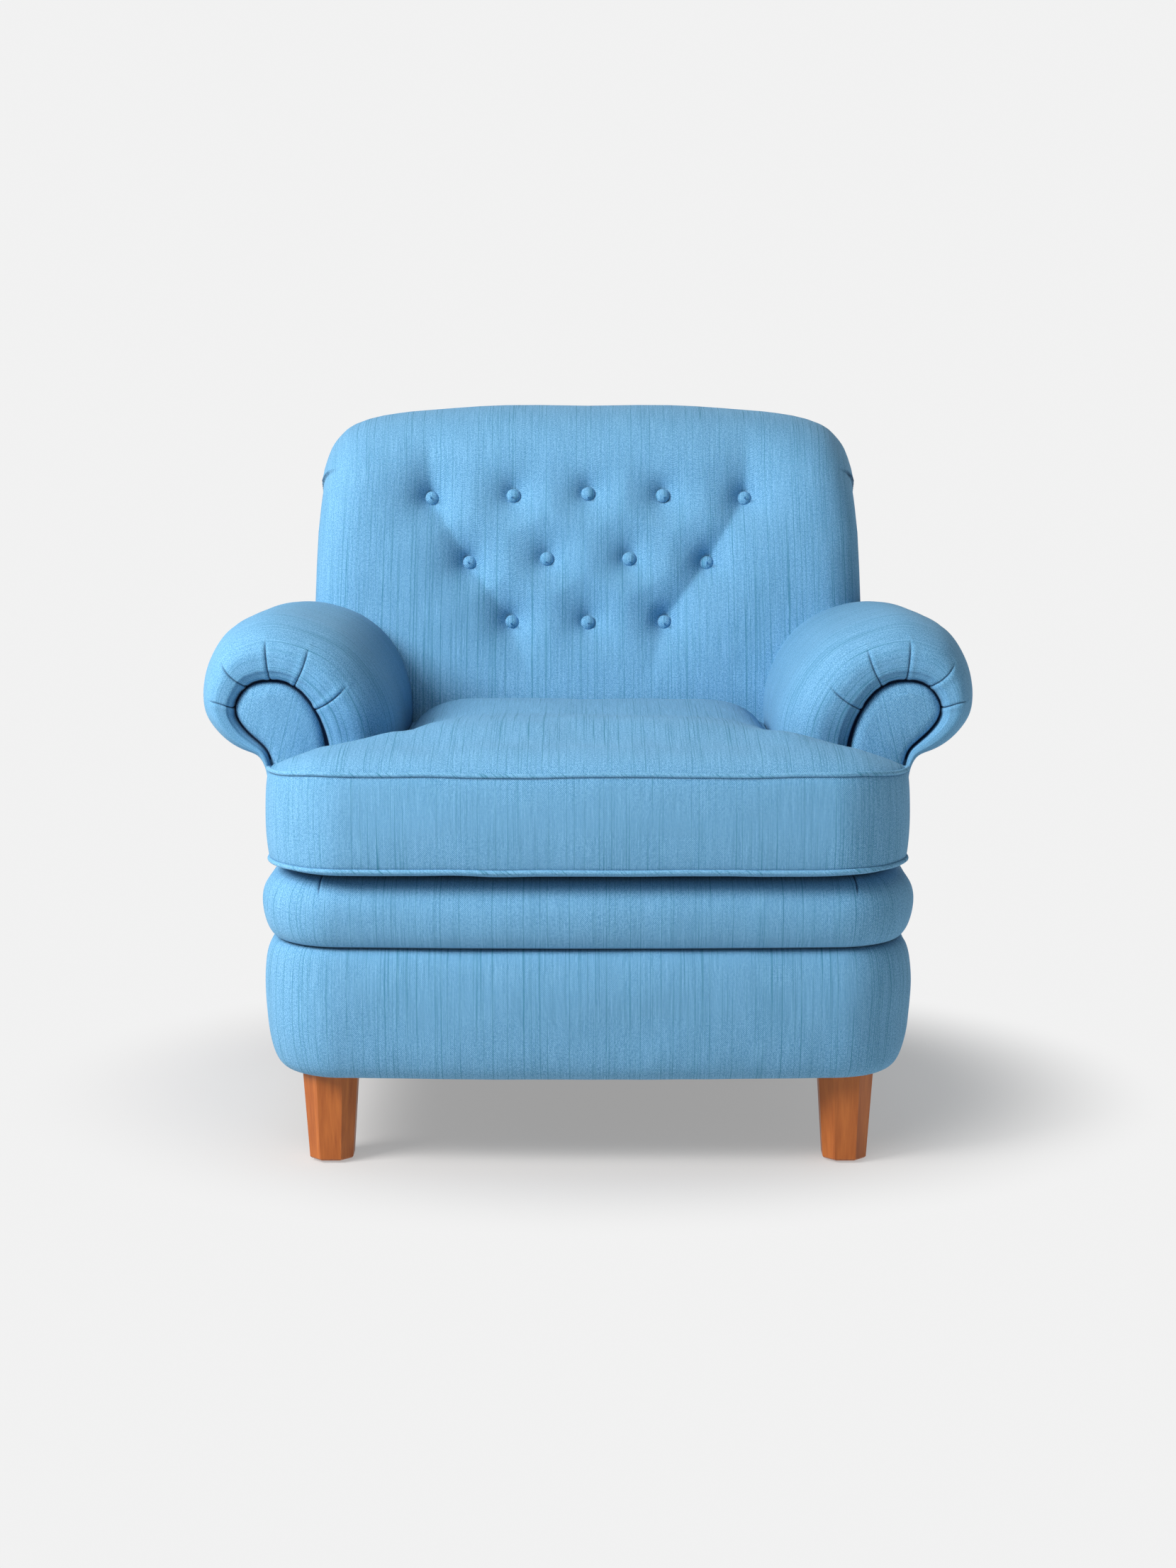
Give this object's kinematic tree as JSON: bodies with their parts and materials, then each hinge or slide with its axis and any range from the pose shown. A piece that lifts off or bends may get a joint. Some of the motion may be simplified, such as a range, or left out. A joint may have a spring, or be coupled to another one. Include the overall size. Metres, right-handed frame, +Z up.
{
  "type": "armchair",
  "caption": "Upholstered armchair with rolled arms, a padded buttoned back, a loose T-shaped seat cushion with welts, a soft base border and short wooden legs.",
  "frame": {"origin": "on the floor, in the middle of the chair's footprint", "axes": "+X to the viewer's right when facing the seat, +Y from the seat front to the back, +Z up"},
  "size_m": [0.91, 0.8393, 0.854],
  "materials": {
    "fabric": "matte",
    "welt_fabric": "matte",
    "foam": "matte",
    "deck_fabric": "matte",
    "dust_fabric": "matte",
    "jute": "matte",
    "zip_tape": "matte",
    "frame_wood": "rough",
    "leg_wood": "satin",
    "bolt_steel": "satin",
    "spring_steel": "satin",
    "clip_metal": "matte",
    "glide_plastic": "matte",
    "zip_metal": "satin"
  },
  "bodies": {
    "chair_body": {"front_rail": "frame_wood", "rear_rail": "frame_wood", "side_rail_left": "frame_wood", "side_rail_right": "frame_wood", "corner_blocks": "frame_wood", "t_nuts": "bolt_steel", "hanger_bolts": "bolt_steel", "arm_post_left": "frame_wood", "arm_post_right": "frame_wood", "arm_rail_left": "frame_wood", "arm_rail_right": "frame_wood", "arm_tack_rail_left": "frame_wood", "arm_tack_rail_right": "frame_wood", "back_post_left": "frame_wood", "back_post_right": "frame_wood", "crest_rail": "frame_wood", "back_lower_rail": "frame_wood", "back_webbing": "jute", "seat_springs": "spring_steel", "spring_clips": "clip_metal", "spring_cloth": "jute", "platform_foam": "foam", "deck_cloth": "deck_fabric", "edge_roll_foam": "foam", "edge_roll_cover": "fabric", "base_padding": "foam", "base_border_cover": "fabric", "arm_foam_left": "foam", "arm_foam_right": "foam", "arm_cover_left": "fabric", "arm_cover_right": "fabric", "facing_board_left": "frame_wood", "facing_board_right": "frame_wood", "arm_facing_left": "fabric", "arm_facing_right": "fabric", "outside_arm_left": "fabric", "outside_arm_right": "fabric", "back_foam": "foam", "inside_back_cover": "fabric", "outside_back_cover": "fabric", "back_buttons": "welt_fabric", "button_twines": "jute", "leg_front_left": "leg_wood", "leg_front_right": "leg_wood", "leg_rear_left": "leg_wood", "leg_rear_right": "leg_wood", "leg_glides": "glide_plastic", "dust_cover": "dust_fabric"},
    "seat_cushion": {"seat_cushion_core": "foam", "seat_cushion_cover": "fabric", "cushion_piping_top": "welt_fabric", "cushion_piping_bottom": "welt_fabric", "cushion_zip": "zip_tape"},
    "zip_slider": {"zip_slider": "zip_metal"}
  },
  "joints": [
    {"name": "cushion_lift", "type": "slide", "parent": "chair_body", "child": "seat_cushion", "axis": [0, 0, 1], "range_m": [0, 0.3]},
    {"name": "zip_slide", "type": "slide", "parent": "seat_cushion", "child": "zip_slider", "axis": [1, 0, 0], "range_m": [0, 0.376]}
  ]
}
